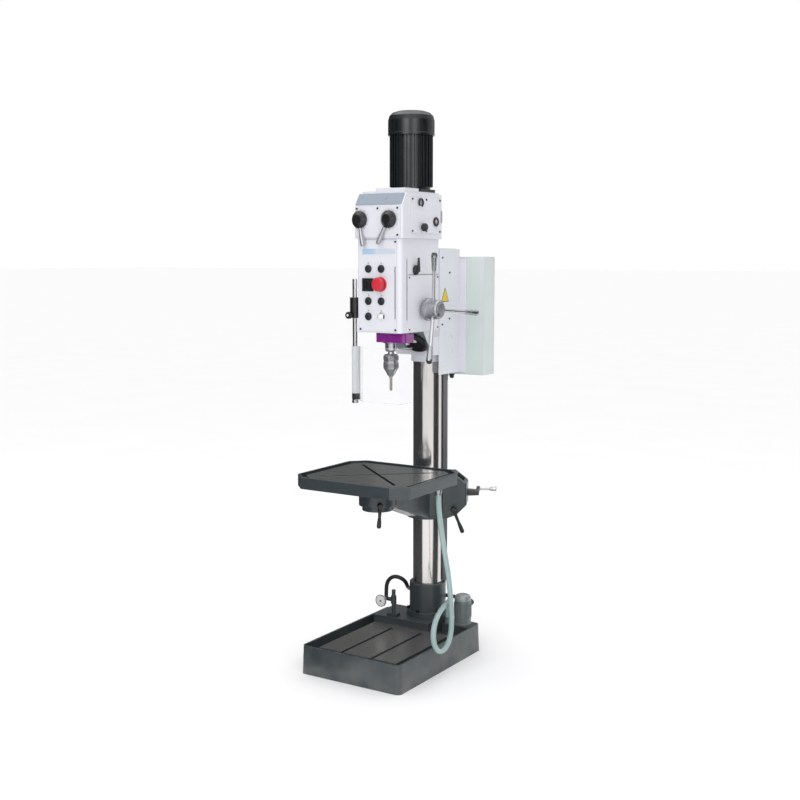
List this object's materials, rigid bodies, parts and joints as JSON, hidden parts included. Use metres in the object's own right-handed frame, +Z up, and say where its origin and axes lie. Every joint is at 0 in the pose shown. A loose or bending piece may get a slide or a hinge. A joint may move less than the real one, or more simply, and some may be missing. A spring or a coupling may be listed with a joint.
{
  "type": "column drilling machine",
  "caption": "Gear-head column drill press with a geared head, top motor, three-spoke feed, swinging table with crank lift, T-slot base, chip guard and coolant pump.",
  "frame": {"origin": "centre of the four foundation holes, on the underside of the base", "axes": "+Z up along the column, -Y towards the operator, +X to the operator's right where the feed handles are"},
  "size_m": [0.5785, 0.9044, 2.38],
  "materials": {
    "base_paint": "satin",
    "black_hose": "satin",
    "black_iron": "satin",
    "black_plastic": "satin",
    "cabinet_paint": "satin",
    "chrome": "polished",
    "clear_sheet": "clear",
    "column_steel": "polished",
    "fastener_steel": "satin",
    "head_paint": "satin",
    "machined_steel": "satin",
    "motor_paint": "satin",
    "pale_hose": "translucent",
    "panel_paint": "satin",
    "pump_paint": "satin",
    "purple_paint": "gloss",
    "red_plastic": "gloss",
    "table_iron": "machined",
    "tool_steel": "dark",
    "white_plastic": "gloss"
  },
  "bodies": {
    "machine": {"base_casting": "base_paint", "column_foot": "base_paint", "column_tube": "column_steel", "machine_screws": "fastener_steel", "head_casting": "head_paint", "gearbox_housing": "head_paint", "gearbox_lid": "head_paint", "front_panels": "panel_paint", "side_covers": "head_paint", "work_lamp": "black_plastic", "motor_housing": "motor_paint", "fan_cover": "motor_paint", "panel_bezels": "chrome", "guard_bracket": "black_iron", "cabinet_bracket": "head_paint", "cabinet": "cabinet_paint", "coolant_pump": "pump_paint", "coolant_stand": "black_iron", "drain_hose": "pale_hose", "coolant_hose": "black_hose"},
    "rack_ring": {"lift_rack": "column_steel"},
    "arm": {"table_arm": "base_paint"},
    "table_top": {"table": "table_iron", "table_pivot": "machined_steel", "drain_fitting": "chrome"},
    "lift_wheel": {"lift_gear": "machined_steel"},
    "crank_body": {"crank": "black_iron"},
    "crank_grip": {"crank_handle": "chrome"},
    "table_clamp_body": {"table_clamp": "black_plastic"},
    "column_clamp_body": {"column_clamp": "black_plastic"},
    "quill_body": {"quill": "machined_steel", "quill_collar": "purple_paint", "depth_rod": "machined_steel"},
    "spindle_body": {"spindle": "machined_steel", "chuck": "chrome", "twist_drill": "tool_steel"},
    "spindle_wheel": {"spindle_wheel_gear": "machined_steel"},
    "idler": {"idler_gears": "machined_steel"},
    "motor_shaft": {"motor_rotor": "machined_steel"},
    "feed_wheel": {"feed_shaft": "machined_steel", "feed_hub": "chrome", "feed_spokes": "chrome", "feed_grips": "chrome"},
    "left_selector": {"selector_left": "black_plastic"},
    "right_selector": {"selector_right": "black_plastic"},
    "feed_lever": {"feed_selector": "black_plastic"},
    "cover_latch": {"cover_knob": "black_plastic"},
    "main_switch": {"switch_knob": "black_plastic"},
    "stop": {"stop_button": "red_plastic"},
    "guard_slider": {"guard_rod": "chrome"},
    "guard": {"guard_post": "black_plastic", "guard_shield": "clear_sheet"},
    "guard_clamp": {"guard_knob": "black_plastic"},
    "door": {"cabinet_door": "cabinet_paint"},
    "coolant_tap": {"coolant_knob": "white_plastic"},
    "key_1": {"button_1": "black_plastic"},
    "key_2": {"button_2": "black_plastic"},
    "key_3": {"button_3": "black_plastic"},
    "key_4": {"button_4": "black_plastic"},
    "key_5": {"button_5": "black_plastic"}
  },
  "joints": [
    {"name": "arm_swing", "type": "hinge", "parent": "machine", "child": "rack_ring", "pos_m": [0, 0.29, 0.8], "axis": [0, 0, 1], "range_deg": [-90, 90], "deforming": ["drain_hose"]},
    {"name": "arm_raise", "type": "slide", "parent": "rack_ring", "child": "arm", "axis": [0, 0, 1], "range_m": [-0.28, 0.16], "deforming": ["drain_hose"]},
    {"name": "table_turn", "type": "hinge", "parent": "arm", "child": "table_top", "pos_m": [0, -0.121, 0.8], "axis": [0, 0, 1], "range_deg": [-90, 90], "deforming": ["drain_hose"]},
    {"name": "lift_turn", "type": "hinge", "parent": "arm", "child": "lift_wheel", "pos_m": [0.0996, 0.33645, 0.7474], "axis": [-0.4226, 0.9063, 0], "range_deg": [-415, 725]},
    {"name": "crank_turn", "type": "hinge", "parent": "arm", "child": "crank_body", "pos_m": [0.16858, 0.40171, 0.705], "axis": [0.9063, 0.4226, 0], "range_deg": [-2080, 3640]},
    {"name": "crank_grip_spin", "type": "hinge", "parent": "crank_body", "child": "crank_grip", "pos_m": [0.15774, 0.49596, 0.705], "axis": [0.9063, 0.4226, 0], "continuous": true},
    {"name": "table_clamp_turn", "type": "hinge", "parent": "arm", "child": "table_clamp_body", "pos_m": [0.052, -0.183, 0.733], "axis": [0.6392, -0.769, 0], "range_deg": [-50, 50]},
    {"name": "column_clamp_turn", "type": "hinge", "parent": "arm", "child": "column_clamp_body", "pos_m": [0.13677, 0.28537, 0.645], "axis": [0.4226, -0.9063, 0], "range_deg": [-50, 50]},
    {"name": "quill_feed", "type": "slide", "parent": "machine", "child": "quill_body", "axis": [0, 0, -1], "range_m": [0, 0.15], "stiffness_N_per_m": 500, "springref_m": -0.5},
    {"name": "feed_turn", "type": "hinge", "parent": "machine", "child": "feed_wheel", "pos_m": [0.15, 0.07, 1.543], "axis": [1, 0, 0], "range_deg": [0, 161]},
    {"name": "spindle_spin", "type": "hinge", "parent": "quill_body", "child": "spindle_body", "pos_m": [0, -0.017, 1.5], "axis": [0, 0, 1], "continuous": true},
    {"name": "spindle_wheel_spin", "type": "hinge", "parent": "machine", "child": "spindle_wheel", "pos_m": [0, -0.017, 1.87], "axis": [0, 0, 1], "continuous": true},
    {"name": "idler_spin", "type": "hinge", "parent": "machine", "child": "idler", "pos_m": [0.0443, 0.0726, 1.9], "axis": [0, 0, 1], "continuous": true},
    {"name": "motor_spin", "type": "hinge", "parent": "machine", "child": "motor_shaft", "pos_m": [0, 0.144, 2.1], "axis": [0, 0, 1], "continuous": true},
    {"name": "selector_left_turn", "type": "hinge", "parent": "machine", "child": "left_selector", "pos_m": [-0.087, -0.117, 1.917], "axis": [0, -1, 0], "range_deg": [-40, 15]},
    {"name": "selector_right_turn", "type": "hinge", "parent": "machine", "child": "right_selector", "pos_m": [0.057, -0.117, 1.917], "axis": [0, -1, 0], "range_deg": [-12, 45]},
    {"name": "feed_selector_turn", "type": "hinge", "parent": "machine", "child": "feed_lever", "pos_m": [0.107, 0.004, 1.709], "axis": [1, 0, 0], "range_deg": [-25, 25]},
    {"name": "cover_knob_turn", "type": "hinge", "parent": "machine", "child": "cover_latch", "pos_m": [0.123, 0.033, 1.886], "axis": [1, 0, 0], "range_deg": [0, 90]},
    {"name": "switch_turn", "type": "hinge", "parent": "machine", "child": "main_switch", "pos_m": [-0.054, -0.114, 1.648], "axis": [0, -1, 0], "range_deg": [0, 90]},
    {"name": "stop_press", "type": "slide", "parent": "machine", "child": "stop", "axis": [0, 1, 0], "range_m": [0, 0.005], "stiffness_N_per_m": 900},
    {"name": "guard_lift", "type": "slide", "parent": "machine", "child": "guard_slider", "axis": [0, 0, 1], "range_m": [-0.07, 0.05]},
    {"name": "guard_swing", "type": "hinge", "parent": "guard_slider", "child": "guard", "pos_m": [-0.136, -0.088, 1.27], "axis": [0, 0, 1], "range_deg": [-100, 0]},
    {"name": "guard_clamp_turn", "type": "hinge", "parent": "machine", "child": "guard_clamp", "pos_m": [-0.141, -0.109, 1.519], "axis": [0, -1, 0], "range_deg": [-45, 90]},
    {"name": "door_swing", "type": "hinge", "parent": "machine", "child": "door", "pos_m": [-0.107, 0.492, 1.5], "axis": [0, 0, 1], "range_deg": [0, 120]},
    {"name": "coolant_tap_turn", "type": "hinge", "parent": "machine", "child": "coolant_tap", "pos_m": [-0.152, 0.1396, 0.216], "axis": [0, -1, 0], "range_deg": [0, 180]},
    {"name": "button_1_press", "type": "slide", "parent": "machine", "child": "key_1", "axis": [0, 1, 0], "range_m": [0, 0.003], "stiffness_N_per_m": 600},
    {"name": "button_2_press", "type": "slide", "parent": "machine", "child": "key_2", "axis": [0, 1, 0], "range_m": [0, 0.003], "stiffness_N_per_m": 600},
    {"name": "button_3_press", "type": "slide", "parent": "machine", "child": "key_3", "axis": [0, 1, 0], "range_m": [0, 0.003], "stiffness_N_per_m": 600},
    {"name": "button_4_press", "type": "slide", "parent": "machine", "child": "key_4", "axis": [0, 1, 0], "range_m": [0, 0.003], "stiffness_N_per_m": 600},
    {"name": "button_5_press", "type": "slide", "parent": "machine", "child": "key_5", "axis": [0, 1, 0], "range_m": [0, 0.003], "stiffness_N_per_m": 600}
  ],
  "couplings": [
    {"joint": "lift_turn", "follows": "arm_raise", "rad_per_m": -45.045},
    {"joint": "crank_turn", "follows": "arm_raise", "rad_per_m": -225.22},
    {"joint": "feed_turn", "follows": "quill_feed", "rad_per_m": 18.587},
    {"joint": "idler_spin", "follows": "motor_spin", "ratio": -0.5},
    {"joint": "spindle_wheel_spin", "follows": "motor_spin", "ratio": 0.21429},
    {"joint": "spindle_spin", "follows": "motor_spin", "ratio": 0.21429}
  ]
}
